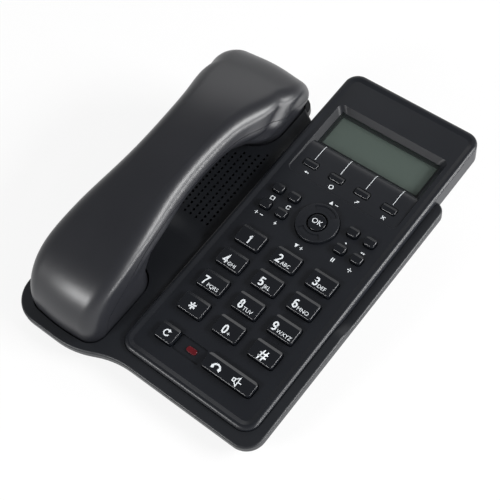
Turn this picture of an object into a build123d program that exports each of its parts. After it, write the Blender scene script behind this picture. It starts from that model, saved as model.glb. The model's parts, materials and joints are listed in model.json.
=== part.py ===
from build123d import *
import math
import os

# Corded telephone. Everything above the bottom shell is drawn on the deck: x to the right, v up its slope and
# h square to it, with zero at the centre of the 5 key, on the panel field. Millimetres and degrees.

# Deck and levels
deck_tilt = 10.39
deck_centre_height = 28.0
wall = 2.2
fit_gap = 0.3
seat_gap = 0.15
overrun = 60.0

# Base outline: corner x, corner v, corner radius, inward direction along x, inward direction along v
base_left = -109.0
base_right = 49.5
lobe_front = -88.5
lobe_back = 115.5
panel_side_front = -78.4
panel_side_back = 93.5
base_corners = [
    (base_left, lobe_front, 18.0, 1, 1),
    (-62.0, lobe_front, 50.0, 0, 1),
    (-40.0, panel_side_front, 50.0, 0, 1),
    (base_right, panel_side_front, 11.0, -1, 1),
    (base_right, panel_side_back, 6.5, -1, -1),
    (-36.0, panel_side_back, 40.0, 0, -1),
    (-71.8, lobe_back, 40.0, 0, -1),
    (base_left, lobe_back, 20.0, 1, -1),
]
tight_corner = 3.0
deck_front_level = -1.5
deck_back_level = -4.4
ramp_front = -4.0
ramp_back = 9.5
skirt_front = 4.6
skirt_back = 6.2
deck_edge_radius = 1.2
deck_wall = 2.5

# Bottom shell
shell_lap = 1.2
shell_lean = 26.0
foot_height = 1.8
foot_diameter = 10.0
foot_recess = 0.8
foot_places = [(-92.0, -70.0), (34.0, -60.0), (21.0, 60.0), (-80.0, 72.0)]

# Panel
panel_half_width = 43.4
panel_front = -71.0
panel_back = 138.5
panel_corner = 8.5
panel_rise = 0.8
rim_width = 2.6
rim_slope_width = 2.2
rim_radius = 2.0
panel_skirt_depth = 6.5
head_depth = 12.0
head_front = 84.0
tray_flange = 3.0
tray_thickness = 2.0

# Display bay
bay_half_width = 36.6
bay_front = 63.1
bay_back = 116.4
bay_corner = 3.5
bay_bank = 3.2
bay_front_depth = 0.6
bay_key_depth = 1.0
bay_lip_start = 80.0
bay_lip_end = 88.8
bay_lip_entry = (1, -0.05)
bay_lip_exit = (0.25, -1)
bay_depth = 3.6
window_half_width = 33.0
window_front = 89.2
window_back = 113.0
window_ledge = 1.4
lens_thickness = 1.3
lcd_thickness = 2.0
lcd_frame_width = 2.0
lcd_frame_floor = 1.2

# Keys
key_pitch_x = 23.5
key_pitch_v = 16.15
key_width = 15.5
key_length = 10.6
key_height = 2.7
key_corner = 1.2
key_bevel_width = 1.6
key_bevel_drop = 0.8
key_edge = 0.45
key_gap = 0.45
key_flange = 1.0
key_travel = 1.2
small_key_width = 6.4
small_key_length = 5.4
small_key_height = 2.4
small_key_corner = 1.6
small_key_columns = [-30.4, -19.8, 19.2, 30.0]
small_key_rows = [49.9, 37.9]
soft_key_width = 8.8
soft_key_length = 4.4
soft_key_proud = 0.9
soft_key_columns = [-26.0, -8.6, 8.4, 26.0]
soft_key_v = 73.3
soft_key_corner = 1.0
ring_v = 43.8
ring_radius = 12.0
ring_inner_radius = 5.9
ring_foot_radius = 7.2
ring_height = 2.0
ring_pad_outer = 10.7
ring_pad_inner = 7.4
ring_clearance = 0.8
centre_key_radius = 5.0
centre_key_height = 2.2
redial_x = -24.6
redial_v = -52.2
redial_width = 11.3
redial_length = 9.6
handsfree_x = 15.8
handsfree_v = -51.6
handsfree_width = 31.2
handsfree_length = 9.0
handsfree_corner = 2.2
led_channel_left = -18.6
led_channel_length = 9.8
led_channel_depth = 0.8
led_x = -8.8
led_v = -52.2
led_radius = 1.5

# Keypad stack
mat_top = -6.3
mat_thickness = 1.2
dome_rise = 0.6
dome_radius = 2.6
small_dome_radius = 1.9
board_thickness = 1.6
stack_half_width = 38.6
stack_front = -65.5
stack_back = 79.5
stake_radius = 2.2
stake_pin_radius = 0.9
stake_places = [(-11.75, 8.075), (11.75, 8.075), (-11.75, -24.225), (11.75, -24.225)]
post_places = [(-28.0, 28.3), (28.0, 28.3), (-11.75, -42.3), (11.75, -42.3)]
side_posts = [(-58.0, -12.0, 10.0), (-90.0, -10.0, 10.0), (-86.0, 50.0, 15.0)]
post_radius = 2.8
screw_radius = 1.5
screw_head_radius = 2.8
screw_head_height = 1.8
tower_radius = 4.6
tower_web = 2.4

# Speaker and its grille
grille_left = -78.6
grille_right = -48.7
grille_front = 10.0
grille_back = 69.0
hole_radius = 0.85
hole_pitch_x = 4.05
hole_pitch_v = 3.0
hole_columns = 7
hole_rows = 19
first_hole_x = -51.6
first_hole_v = 11.8
speaker_x = -64.4
speaker_v = 39.0
speaker_radius = 16.5
speaker_depth = 9.0
speaker_rim = 1.6
magnet_radius = 9.0
clamp_width = 2.0

# Handset
handset_x = -76.5
handset_front = -82.5
handset_length = 195.5
handset_height = 44.5
handset_bottom = -5.5
handset_wall = 2.2
handset_crown = 2.3
crown_radius = 110.0
seam_gap = 0.3
cup_clearance = 0.6
ear_drop_share = 0.056
grip_share = 0.506
outer_shares = [
    (0, 0), (0.0005, 0.15), (0.009, 0.36), (0.030, 0.535), (0.076, 0.712), (0.166, 0.845), (0.27, 0.922),
    (0.422, 0.985), (0.575, 1.0), (0.729, 0.955), (0.831, 0.848), (0.908, 0.715), (0.965, 0.54),
    (0.992, 0.34), (0.996, 0.16), (0.986, 0.015), (0.985, -ear_drop_share),
]
inner_shares = [
    (0.272, 0), (0.271, 0.17), (0.281, 0.33), (0.312, 0.44), (0.381, 0.492), (0.499, grip_share),
    (0.616, 0.494), (0.688, 0.427), (0.729, 0.303), (0.746, 0.124), (0.749, -ear_drop_share),
]
seam_shares = [
    (-0.05, 0.043), (0.047, 0.043), (0.062, 0.10), (0.080, 0.256), (0.129, 0.418), (0.208, 0.638),
    (0.29, 0.742), (0.42, 0.762), (0.60, 0.755), (0.72, 0.69), (0.81, 0.55), (0.893, 0.36), (0.96, 0.24),
    (1.05, 0.21),
]
# Share of the run, then shares of the cup's half width (widest line, inner edge, outer edge), the height share
# of the widest line, and shares of the cup's half width again for the radii (inner, widest, outer)
cup_half_width = 24.6
section_shares = [
    (0.00, 1.000, 0.988, 0.988, 0.50, 0.53, 1.60, 0.41),
    (0.08, 1.008, 0.988, 0.988, 0.50, 0.53, 1.60, 0.41),
    (0.18, 1.049, 0.813, 1.008, 0.42, 0.37, 0.81, 0.39),
    (0.30, 0.988, 0.549, 0.935, 0.38, 0.28, 0.37, 0.38),
    (0.45, 0.850, 0.447, 0.805, 0.38, 0.24, 0.33, 0.37),
    (0.62, 0.837, 0.447, 0.797, 0.38, 0.24, 0.33, 0.37),
    (0.76, 0.955, 0.610, 0.915, 0.38, 0.33, 0.37, 0.37),
    (0.87, 1.114, 0.955, 1.081, 0.42, 0.57, 0.57, 0.33),
    (0.94, 1.134, 1.057, 1.118, 0.55, 0.81, 1.22, 0.30),
    (0.975, 0.951, 0.935, 0.943, 0.60, 0.80, 1.60, 0.33),
    (1.00, 0.943, 0.935, 0.935, 0.60, 0.80, 1.60, 0.33),
]
loft_shares = [
    0, 0.03, 0.07, 0.11, 0.15, 0.19, 0.24, 0.3, 0.38, 0.46, 0.54, 0.62, 0.7, 0.77, 0.83, 0.88, 0.915, 0.94,
    0.96, 0.978, 1,
]
ear_bottom = handset_bottom - ear_drop_share * handset_height
receiver_radius = 13.5
receiver_height = 7.0
ear_cup_v = 90.0
mic_radius = 4.85
mic_height = 5.0
mouth_cup_v = -57.0
port_radius = 0.8
port_ring_radius = 4.0
weight_length = 46.0
weight_width = 13.0
weight_height = 5.0
weight_v = 22.0
rib_thickness = 1.6
mouth_screw_v = -43.0
ear_screw_v = 69.6

# Hook switch
plunger_width = 8.0
plunger_length = 7.0
plunger_offset = 13.5
plunger_v = 77.0
plunger_travel = 4.0
plunger_flange = 1.5
plunger_stem = 8.0
switch_width = 14.0
switch_length = 9.0
switch_height = 7.0

# Main board and sockets, level with the table
main_board_half_width = 22.0
main_board_front = -4.0
main_board_back = 66.0
main_board_rise = 6.0
chip_size = 14.0
chip_height = 1.8
capacitor_radius = 4.0
capacitor_height = 7.0
jack_body = 13.0
jack_depth = 14.0
jack_height = 11.5
line_bore_width = 9.8
cord_bore_width = 7.8
bore_height = 6.8
bore_depth = 9.5
line_jack_x = -82.0
cord_jack_v = 22.0
jack_rise = 2.0
handset_jack_v = -46.0


def on_deck(shape):
    """Carry a shape from the deck frame to the table frame."""
    return Pos(0, 0, deck_centre_height) * Rot(deck_tilt, 0, 0) * shape


def slab(width, length, height, corner, x=0, v=0, h=0):
    """Rounded block standing on h, centred on x and v."""
    sketch = RectangleRounded(width, length, corner)
    return Pos(x, v, h) * extrude(sketch, height)


def rod(radius, height, x=0, v=0, h=0):
    """Cylinder standing on h."""
    return Pos(x, v, h) * extrude(Circle(radius), height)


def box_between(left, right, front, back, low, high):
    """Plain block between six planes."""
    sketch = Pos((left + right) / 2, (front + back) / 2) * Rectangle(right - left, back - front)
    return Pos(0, 0, low) * extrude(sketch, high - low)


def side_prism(points, left, right):
    """Profile in v and h, carried across from left to right."""
    profile = make_face(points) if isinstance(points, Wire) else make_face(Polyline(*points, close=True))
    return Pos(left, 0, 0) * extrude(Plane.YZ * profile, right - left)


def base_outline(insets):
    """Plan outline of the base, each corner drawn in by its own inset."""
    points = []
    radii = []
    for (x, v, radius, inward_x, inward_v), inset in zip(base_corners, insets):
        points.append((x + inward_x * inset, v + inward_v * inset))
        sharp = inward_x != 0
        radii.append(max(radius - inset, tight_corner) if sharp else radius)
    return make_face(FilletPolyline(*points, radius=radii, close=True))


def even_outline(inset):
    return base_outline([inset] * len(base_corners))


def deck_profile(drop, depth_front, depth_back):
    """Side profile of the deck with its ramp, lowered by drop, and a floor below it."""
    front = lobe_front - overrun
    back = lobe_back + overrun
    high = deck_front_level - drop
    low = deck_back_level - drop
    slope = (skirt_back - skirt_front + deck_front_level - deck_back_level) / (lobe_back - lobe_front)
    floor_front = deck_front_level - depth_front + slope * overrun
    floor_back = deck_back_level - depth_back - slope * overrun
    ramp = Spline((ramp_front, high), (ramp_back, low), tangents=((1, 0), (1, 0)))
    lines = [
        Line((front, high), (ramp_front, high)),
        ramp,
        Line((ramp_back, low), (back, low)),
        Line((back, low), (back, floor_back)),
        Line((back, floor_back), (front, floor_front)),
        Line((front, floor_front), (front, high)),
    ]
    return Wire(lines)


def deck_level(v):
    """Deck level at v, away from the ramp."""
    return deck_front_level if v < (ramp_front + ramp_back) / 2 else deck_back_level


def table_level(v, height=0):
    """Level h, in the deck frame, of a point that height above the table at v."""
    tilt = math.radians(deck_tilt)
    return (height - deck_centre_height - v * math.sin(tilt)) / math.cos(tilt)


# Handset form
def handset_point(shares):
    along, up = shares
    return (0, handset_front + along * handset_length, handset_bottom + up * handset_height)


outer_curve = Spline(*[handset_point(row) for row in outer_shares])
inner_curve = Spline(*[handset_point(row) for row in inner_shares])


def section_value(share, column):
    """Smooth value of a column of section_shares at a share of the run."""
    last = len(section_shares) - 1
    i = 0
    while i < last - 1 and share > section_shares[i + 1][0]:
        i += 1
    before = section_shares[max(i - 1, 0)]
    start = section_shares[i]
    end = section_shares[i + 1]
    after = section_shares[min(i + 2, last)]
    span = end[0] - start[0]
    t = (share - start[0]) / span
    start_slope = span * (end[column] - before[column]) / (end[0] - before[0]) if i > 0 else 0
    end_slope = span * (after[column] - start[column]) / (after[0] - start[0]) if i < last - 1 else 0
    blend = 3 * t ** 2 - 2 * t ** 3
    rise = (t ** 3 - 2 * t ** 2 + t) * start_slope + (t ** 3 - t ** 2) * end_slope
    return (1 - blend) * start[column] + blend * end[column] + rise


def handset_section(share, inset):
    """Section of the handset at a share of its run, drawn in by an inset (or let out by a negative one)."""
    outer = outer_curve @ share
    inner = inner_curve @ share
    height = (outer - inner).length
    upward = (outer - inner).normalized()
    middle, low, high = [section_value(share, k) * cup_half_width - inset for k in (1, 2, 3)]
    level = section_value(share, 4) * height
    inner_radius, middle_radius, outer_radius = [section_value(share, k) * cup_half_width for k in (5, 6, 7)]
    shoulder = height - handset_crown - inset
    points = [
        (-low, inset), (low, inset), (middle, level), (high, shoulder), (0, height - inset),
        (-high, shoulder), (-middle, level),
    ]
    inner_radius -= inset * (inset > 0)
    outer_radius -= inset * (inset > 0)
    radii = [inner_radius, inner_radius, middle_radius, outer_radius, crown_radius, outer_radius, middle_radius]
    across = Vector(1, 0, 0)
    plane = Plane(Vector(handset_x, inner.Y, inner.Z), x_dir=across, z_dir=across.cross(upward))
    return plane * make_face(FilletPolyline(*points, radius=radii, close=True))


def handset_body(inset):
    return loft([handset_section(share, inset) for share in loft_shares])


def cup_prism(share, inset, low, high):
    """Upright prism on a cup's footprint."""
    face = handset_section(share, inset)
    level = face.center().Z
    return extrude(Pos(0, 0, low - level) * face, high - low, dir=(0, 0, 1))


def seam_half(shift, side):
    """Block above (side 1) or below (side -1) the handset's seam."""
    points = [handset_point(row)[1:] for row in seam_shares]
    curve = Pos(0, shift) * Spline(*points)
    start = curve @ 0
    end = curve @ 1
    far = start.Y + side * overrun
    lines = [curve, Line(end, (end.X, far)), Line((end.X, far), (start.X, far)), Line((start.X, far), start)]
    return side_prism(Wire(lines), handset_x - overrun, handset_x + overrun)


def handset_parts():
    body = handset_body(0)
    cups = box_between(handset_x - overrun, handset_x + overrun, handset_front - overrun, 0,
                       handset_bottom + handset_wall, overrun)
    cups += box_between(handset_x - overrun, handset_x + overrun, 0, handset_front + handset_length + overrun,
                        ear_bottom + handset_wall, overrun)
    hollow = handset_body(handset_wall) & cups
    upper = (body & seam_half(seam_gap / 2, 1)) - hollow
    lower_body = body & seam_half(-seam_gap / 2, -1)
    lower = lower_body - hollow

    # Ribs that carry the weight, and bosses for the two screws
    weight_low = handset_point((0, grip_share))[2] + handset_wall + fit_gap
    for end in (-1, 1):
        v = weight_v + end * weight_length / 3
        rib = box_between(handset_x - cup_half_width, handset_x + cup_half_width, v - rib_thickness / 2,
                          v + rib_thickness / 2, handset_bottom, weight_low)
        lower += rib & lower_body & hollow
    weight = slab(weight_width, weight_length, weight_height, rib_thickness, handset_x, weight_v,
                  weight_low + seat_gap)

    # Sound ports in the two cups, and the screws beside them
    ports = [(handset_x + port_ring_radius * k, mouth_cup_v, handset_bottom) for k in (-1, 0, 1)]
    for ring, count in ((0, 1), (1, 6), (2, 12)):
        for k in range(count):
            turn = 2 * math.pi * k / count
            reach = ring * port_ring_radius
            ports.append((handset_x + reach * math.cos(turn), ear_cup_v + reach * math.sin(turn), ear_bottom))
    for x, v, level in ports:
        lower -= rod(port_radius, 3 * handset_wall, x, v, level - handset_wall)
    screws = []
    for v, level in ((mouth_screw_v, handset_bottom), (ear_screw_v, ear_bottom)):
        lower += rod(screw_head_radius + handset_wall, 3 * handset_wall, handset_x, v, level)
        lower -= rod(screw_head_radius + seat_gap, 2 * handset_wall, handset_x, v, level - handset_wall)
        lower -= rod(screw_radius + seat_gap, overrun / 2, handset_x, v, level)
        screw = rod(screw_head_radius, handset_wall - fit_gap, handset_x, v, level + fit_gap)
        screws.append(screw + rod(screw_radius, 4 * handset_wall, handset_x, v, level + fit_gap))

    mouth_x = handset_x - cup_half_width + 2 * fit_gap
    jack_low = handset_bottom + handset_wall + seat_gap
    jack = Pos(mouth_x, handset_jack_v, jack_low) * Rot(0, 0, 90) * socket(cord_bore_width)
    lower -= Pos(mouth_x, handset_jack_v, jack_low) * Rot(0, 0, 90) * box_between(
        -jack_body / 2 - seat_gap, jack_body / 2 + seat_gap, -jack_depth, overrun / 2, -seat_gap, jack_height + seat_gap)

    receiver = rod(receiver_radius, receiver_height, handset_x, ear_cup_v + fit_gap, ear_bottom + handset_wall + seat_gap)
    receiver += rod(receiver_radius / 2, receiver_height / 3, handset_x, ear_cup_v + fit_gap,
                    ear_bottom + handset_wall + seat_gap + receiver_height)
    microphone = rod(mic_radius, mic_height, handset_x, mouth_cup_v, handset_bottom + handset_wall + seat_gap)
    microphone += rod(mic_radius / 2, mic_height / 2, handset_x, mouth_cup_v,
                      handset_bottom + handset_wall + seat_gap + mic_height)
    return {
        "handset_upper_shell": upper,
        "handset_lower_shell": lower,
        "handset_weight": weight,
        "handset_screws": screws,
        "handset_socket": jack,
        "receiver_capsule": receiver,
        "microphone": microphone,
    }


# Panel, bay and keys
def panel_block(grow, low, high):
    """Rounded plan of the panel, let out by grow, between two levels."""
    return slab(2 * (panel_half_width + grow), panel_back - panel_front + 2 * grow, high - low,
                panel_corner + grow, 0, (panel_back + panel_front) / 2, low)


def ring_of(outer_radius, inner_radius, height, x, v, h):
    return rod(outer_radius, height, x, v, h) - rod(inner_radius, height, x, v, h)


def bay_cut(grow, drop):
    """Space of the display bay: banked walls over a floor that dips to the window."""
    top = panel_rise
    depth = bay_depth + drop + top
    width = 2 * (bay_half_width + grow)
    length = bay_back - bay_front + 2 * grow
    middle = (bay_back + bay_front) / 2
    mouth = Pos(0, middle, top) * RectangleRounded(width, length, bay_corner + grow)
    shrink = 2 * bay_bank
    foot = Pos(0, middle, top - depth) * RectangleRounded(width - shrink, length - shrink, bay_corner)
    pocket = loft([mouth, foot], ruled=True)
    lip = Spline((bay_lip_start, -bay_key_depth - drop), (bay_lip_end, -bay_depth - drop),
                 tangents=(bay_lip_entry, bay_lip_exit))
    front = bay_front - grow
    back = bay_back + grow
    high = top + drop + overrun
    lines = [
        Line((front, -bay_front_depth - drop), (bay_lip_start, -bay_key_depth - drop)),
        lip,
        Line((bay_lip_end, -bay_depth - drop), (back, -bay_depth - drop)),
        Line((back, -bay_depth - drop), (back, high)),
        Line((back, high), (front, high)),
        Line((front, high), (front, -bay_front_depth - drop)),
    ]
    return pocket & side_prism(Wire(lines), -panel_half_width, panel_half_width)


def key_rows():
    """Name, size, place, height above the field, and underside of the faceplate there, of each pressed key."""
    rows = []
    names = ["key_1", "key_2", "key_3", "key_4", "key_5", "key_6", "key_7", "key_8", "key_9",
             "key_star", "key_0", "key_hash"]
    for i, name in enumerate(names):
        x = (i % 3 - 1) * key_pitch_x
        v = (1 - i // 3) * key_pitch_v
        rows.append((name, key_width, key_length, key_corner, x, v, key_height, wall))
    for i in range(8):
        column = i % 4
        x = small_key_columns[column]
        v = small_key_rows[i // 4]
        rows.append((f"function_key_{i + 1}", small_key_width, small_key_length, small_key_corner, x, v,
                     small_key_height, wall))
    rows.append(("redial_key", redial_width, redial_length, key_corner, redial_x, redial_v, key_height, wall))
    rows.append(("handsfree_key", handsfree_width, handsfree_length, handsfree_corner, handsfree_x, handsfree_v,
                 key_height, wall))
    for i, x in enumerate(soft_key_columns):
        rows.append((f"soft_key_{i + 1}", soft_key_width, soft_key_length, soft_key_corner, x, soft_key_v,
                     soft_key_proud - bay_key_depth, wall + bay_key_depth))
    return rows


def key_cap(width, length, corner, x, v, height, roof):
    """Key cap with a bevel along its back edge, small edge rounds and a flange under the faceplate."""
    flange_top = -roof - seat_gap
    cap = slab(width, length, height - flange_top, corner, x, v, flange_top)
    top_edges = cap.faces().sort_by(Axis.Z)[-1].edges()
    cap = fillet(top_edges, key_edge)
    back = v + length / 2
    bevel = side_prism([(back - key_bevel_width, height + key_bevel_drop), (back - key_bevel_width, height),
                        (back + key_bevel_width, height - 2 * key_bevel_drop),
                        (back + key_bevel_width, height + key_bevel_drop)], x - width, x + width)
    cap -= bevel
    flange = slab(width + 2 * key_flange, length + 2 * key_flange, key_flange, corner, x, v,
                  flange_top - key_flange)
    return cap + flange


def ring_parts():
    """Rocking ring key, and the round key in its middle."""
    flange_top = -wall - ring_clearance
    foot = flange_top - key_flange
    section = make_face(Polyline((ring_foot_radius, foot), (ring_radius + key_flange, foot),
                                 (ring_radius + key_flange, flange_top), (ring_radius, flange_top),
                                 (ring_radius, ring_height), (ring_inner_radius, ring_height), close=True))
    ring = Pos(0, ring_v) * revolve(Plane.XZ * section, Axis.Z)
    rim = max(ring.faces().sort_by(Axis.Z)[-1].edges(), key=lambda edge: edge.length)
    ring = fillet(rim, key_edge)
    centre = rod(centre_key_radius, centre_key_height - mat_top - dome_rise - key_travel - fit_gap, 0, ring_v,
                 mat_top + dome_rise + key_travel + fit_gap)
    centre = fillet(centre.faces().sort_by(Axis.Z)[-1].edges(), key_edge)
    return {"nav_ring": ring, "centre_key": centre}


def faceplate_parts():
    block = panel_block(0, -panel_skirt_depth, panel_rise)
    head = panel_block(0, -head_depth, 0) & box_between(-overrun, overrun, head_front, panel_back + overrun,
                                                        -head_depth, 0)
    block += head
    top_edges = block.faces().sort_by(Axis.Z)[-1].edges()
    block = fillet(top_edges, rim_radius)
    field_grow = -rim_width - rim_slope_width
    crest = Pos(0, (panel_back + panel_front) / 2, panel_rise) * RectangleRounded(
        2 * (panel_half_width - rim_width), panel_back - panel_front - 2 * rim_width, panel_corner - rim_width)
    field = Pos(0, (panel_back + panel_front) / 2, 0) * RectangleRounded(
        2 * (panel_half_width + field_grow), panel_back - panel_front + 2 * field_grow, panel_corner + field_grow)
    block -= loft([crest, field], ruled=True)

    # Hollow underside, with the tub of the display bay left in it
    inside = panel_block(-wall, -head_depth - overrun, -wall)
    tub = bay_cut(wall, wall)
    step = box_between(-overrun, overrun, head_front, head_front + wall, -head_depth - overrun, -wall)
    block -= inside - tub - (step & panel_block(0, -head_depth, 0))
    block -= bay_cut(0, 0)
    window_v = (window_front + window_back) / 2
    window_length = window_back - window_front
    block -= slab(2 * window_half_width, window_length, lens_thickness + overrun, seat_gap, 0, window_v,
                  -bay_depth - lens_thickness)
    aperture = slab(2 * (window_half_width - window_ledge), window_length - 2 * window_ledge, overrun, seat_gap,
                    0, window_v, -bay_depth - overrun)
    block -= aperture
    lens = slab(2 * (window_half_width - seat_gap), window_length - 2 * seat_gap, lens_thickness, seat_gap,
                0, window_v, -bay_depth - lens_thickness)

    # Display glass under the window, in its frame
    glass_top = -bay_depth - wall - seat_gap
    glass = slab(2 * window_half_width, window_length, lcd_thickness, seat_gap, 0, window_v,
                 glass_top - lcd_thickness)
    frame_low = glass_top - lcd_thickness - lcd_frame_floor
    frame = slab(2 * (window_half_width + lcd_frame_width), window_length + 2 * lcd_frame_width,
                 glass_top - frame_low, lcd_frame_width, 0, window_v, frame_low)
    frame -= slab(2 * window_half_width + 2 * seat_gap, window_length + 2 * seat_gap, overrun, seat_gap, 0,
                  window_v, glass_top - lcd_thickness)

    # Holes for the keys, the light's channel and the light
    for name, width, length, corner, x, v, height, roof in key_rows():
        block -= slab(width + 2 * key_gap, length + 2 * key_gap, 2 * overrun, corner + key_gap, x, v, -overrun)
    block -= rod(ring_radius + key_gap, 2 * overrun, 0, ring_v, -overrun)
    channel_right = handsfree_x - handsfree_width / 2 - key_gap - wall / 2
    channel_x = (led_channel_left + channel_right) / 2
    block -= slab(channel_right - led_channel_left, led_channel_length, overrun, key_corner, channel_x, led_v,
                  -led_channel_depth)
    block -= rod(led_radius + seat_gap, 2 * overrun, led_x, led_v, -overrun)

    # Stakes that hold the board, and posts for the long screws
    board_top = mat_top - mat_thickness
    board_low = board_top - board_thickness
    for x, v in stake_places:
        block += rod(stake_radius, -wall - board_top, x, v, board_top)
        block += rod(stake_pin_radius, -wall - board_low + seat_gap, x, v, board_low - seat_gap)
    for x, v in post_places:
        block += rod(post_radius, -wall - board_low + seat_gap, x, v, board_low - seat_gap)
        block -= rod(screw_radius + seat_gap, -wall - board_low, x, v, board_low - wall)

    # Plate that closes the underside of the head
    cover_half = panel_half_width - wall - fit_gap
    cover_front = head_front + wall + fit_gap
    cover_back = panel_back - wall - fit_gap
    cover_v = (cover_front + cover_back) / 2
    cover = slab(2 * cover_half, cover_back - cover_front, wall, panel_corner - wall, 0, cover_v, -head_depth)
    for side in (-1, 1):
        cover += rod(post_radius, head_depth - 2 * wall - fit_gap, side * (cover_half - panel_corner),
                     cover_back - panel_corner, -head_depth + wall)
    led = rod(led_radius, -led_channel_depth - mat_top, led_x, led_v, mat_top)
    led += Pos(led_x, led_v, -led_channel_depth) * (Sphere(led_radius) & Box(
        2 * led_radius, 2 * led_radius, led_radius, align=(Align.CENTER, Align.CENTER, Align.MIN)))

    mat = slab(2 * stack_half_width, stack_back - stack_front, mat_thickness, key_corner, 0,
               (stack_back + stack_front) / 2, mat_top - mat_thickness)
    for name, width, length, corner, x, v, height, roof in key_rows():
        mat += rod(dome_radius if length > small_key_length else small_dome_radius, dome_rise, x, v, mat_top)
    mat += rod(dome_radius, dome_rise, 0, ring_v, mat_top)
    for side in (-1, 1):
        mat += rod(dome_radius / 2, dome_rise, 0, ring_v + side * (ring_pad_inner + ring_pad_outer) / 2, mat_top)
    board = slab(2 * stack_half_width, stack_back - stack_front, board_thickness, key_corner, 0,
                 (stack_back + stack_front) / 2, board_low)
    for x, v in stake_places:
        mat -= rod(stake_radius + seat_gap, 2 * overrun, x, v, -overrun)
        board -= rod(stake_pin_radius + seat_gap, 2 * overrun, x, v, -overrun)
    for x, v in post_places:
        mat -= rod(post_radius + seat_gap, 2 * overrun, x, v, -overrun)
        board -= rod(post_radius + seat_gap, 2 * overrun, x, v, -overrun)
    return {
        "faceplate": block,
        "head_cover": cover,
        "display_lens": lens,
        "lcd_glass": glass,
        "lcd_frame": frame,
        "status_led": led,
        "keypad_mat": mat,
        "keypad_board": board,
    }


# Base
def towers():
    """Places of the long screws, with the level that each tower reaches."""
    board_low = mat_top - mat_thickness - board_thickness
    rows = [(x, v, board_low - 2 * seat_gap) for x, v in post_places]
    rows += [(x, v, deck_level(v) - drop) for x, v, drop in side_posts]
    return rows


def top_shell_parts():
    outer = extrude(Pos(0, 0, -overrun) * even_outline(0), 2 * overrun)
    outer &= side_prism(deck_profile(0, skirt_front, skirt_back), base_left - overrun, base_right + overrun)
    rim = []
    for edge in outer.edges():
        middle = edge.center()
        across = abs(edge.bounding_box().size.X) > overrun and abs(edge.bounding_box().size.Y) < seat_gap
        inner_line = across and ramp_front - wall < middle.Y < ramp_back + wall
        on_top = edge.bounding_box().min.Z > deck_back_level - seat_gap
        if on_top and not inner_line:
            rim.append(edge)
    outer = fillet(rim, deck_edge_radius)
    inner = extrude(Pos(0, 0, -overrun) * even_outline(deck_wall), 2 * overrun)
    inner &= side_prism(deck_profile(deck_wall, overrun / 2, overrun / 2), base_left - overrun, base_right + overrun)
    shell = outer - inner

    # Window for the grille plate, which stops short of the ear cup's tub
    tub_grow = cup_clearance + tray_thickness
    window = box_between(grille_left, grille_right, grille_front, grille_back, deck_back_level - deck_wall,
                         deck_back_level)
    window -= cup_prism(1, -tub_grow, -overrun, overrun)
    shell -= window

    # Tubs for the two cups of the handset
    for share, bottom in ((0, handset_bottom), (1, ear_bottom)):
        level = deck_front_level if share == 0 else deck_back_level
        floor = bottom - fit_gap
        shell += cup_prism(share, -tub_grow, floor - tray_thickness, level - deck_wall / 2)
    for share, bottom in ((0, handset_bottom), (1, ear_bottom)):
        shell -= cup_prism(share, -cup_clearance, bottom - fit_gap, overrun)

    # Tray that carries the panel, and the notch where the head leaves it
    tray_low = -panel_skirt_depth - fit_gap - tray_thickness
    tray_ring = panel_block(fit_gap + tray_thickness, tray_low, deck_front_level - deck_wall / 2)
    front_part = box_between(-overrun, overrun, panel_front - overrun, head_front - fit_gap, tray_low, overrun)
    tray = tray_ring & front_part & side_prism(deck_profile(deck_wall / 2, overrun, overrun),
                                               -overrun, overrun)
    shell += tray
    shell -= panel_block(fit_gap, -panel_skirt_depth - fit_gap, overrun)
    shell -= panel_block(fit_gap - tray_flange, -overrun, overrun) & box_between(
        -overrun, overrun, panel_front - overrun, head_front, -overrun, overrun)
    shell -= box_between(-panel_half_width - fit_gap, panel_half_width + fit_gap, head_front - fit_gap,
                         lobe_back + overrun, -head_depth - fit_gap, overrun)

    # Holes of the grille plate, clear of the tub
    tub = cup_prism(1, -tub_grow - 2 * hole_radius, -overrun, overrun)
    holes = []
    for column in range(hole_columns):
        for row in range(hole_rows):
            x = first_hole_x - column * hole_pitch_x
            v = first_hole_v + row * hole_pitch_v
            if not tub.is_inside((x, v, 0)):
                holes.append(rod(hole_radius, 2 * deck_wall, x, v, deck_back_level - 1.5 * deck_wall))
    grille = window - holes

    # Bosses over the towers, and the hole for the hook plunger
    for x, v, level in towers()[len(post_places):]:
        boss = rod(post_radius, deck_level(v) - deck_wall / 2 - level - seat_gap, x, v, level + seat_gap)
        shell += boss
        shell -= rod(screw_radius + seat_gap, deck_level(v) - deck_wall - level, x, v, level - fit_gap)
    shell -= slab(plunger_width + 2 * fit_gap, plunger_length + 2 * fit_gap, overrun, key_corner,
                  handset_x + plunger_offset, plunger_v, ear_bottom - overrun / 2)

    # Loudspeaker under the grille, with the ring that clamps it
    roof = deck_back_level - deck_wall - seat_gap
    speaker = rod(speaker_radius, speaker_rim, speaker_x, speaker_v, roof - speaker_rim)
    cone = Pos(speaker_x, speaker_v, roof - speaker_depth / 2) * Solid.make_cone(
        magnet_radius, speaker_radius - clamp_width, speaker_depth / 2 - speaker_rim)
    speaker += cone + rod(magnet_radius, speaker_depth / 2, speaker_x, speaker_v, roof - speaker_depth)
    clamp = ring_of(speaker_radius + clamp_width, speaker_radius + seat_gap, speaker_rim, speaker_x, speaker_v,
                    roof - speaker_rim)
    clamp_low = roof - speaker_rim - seat_gap - speaker_rim
    clamp += ring_of(speaker_radius + clamp_width, speaker_radius - clamp_width / 2, speaker_rim + seat_gap,
                     speaker_x, speaker_v, clamp_low)
    return {"base_top_shell": shell, "speaker_grille": grille, "speaker": speaker, "speaker_clamp": clamp}


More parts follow.
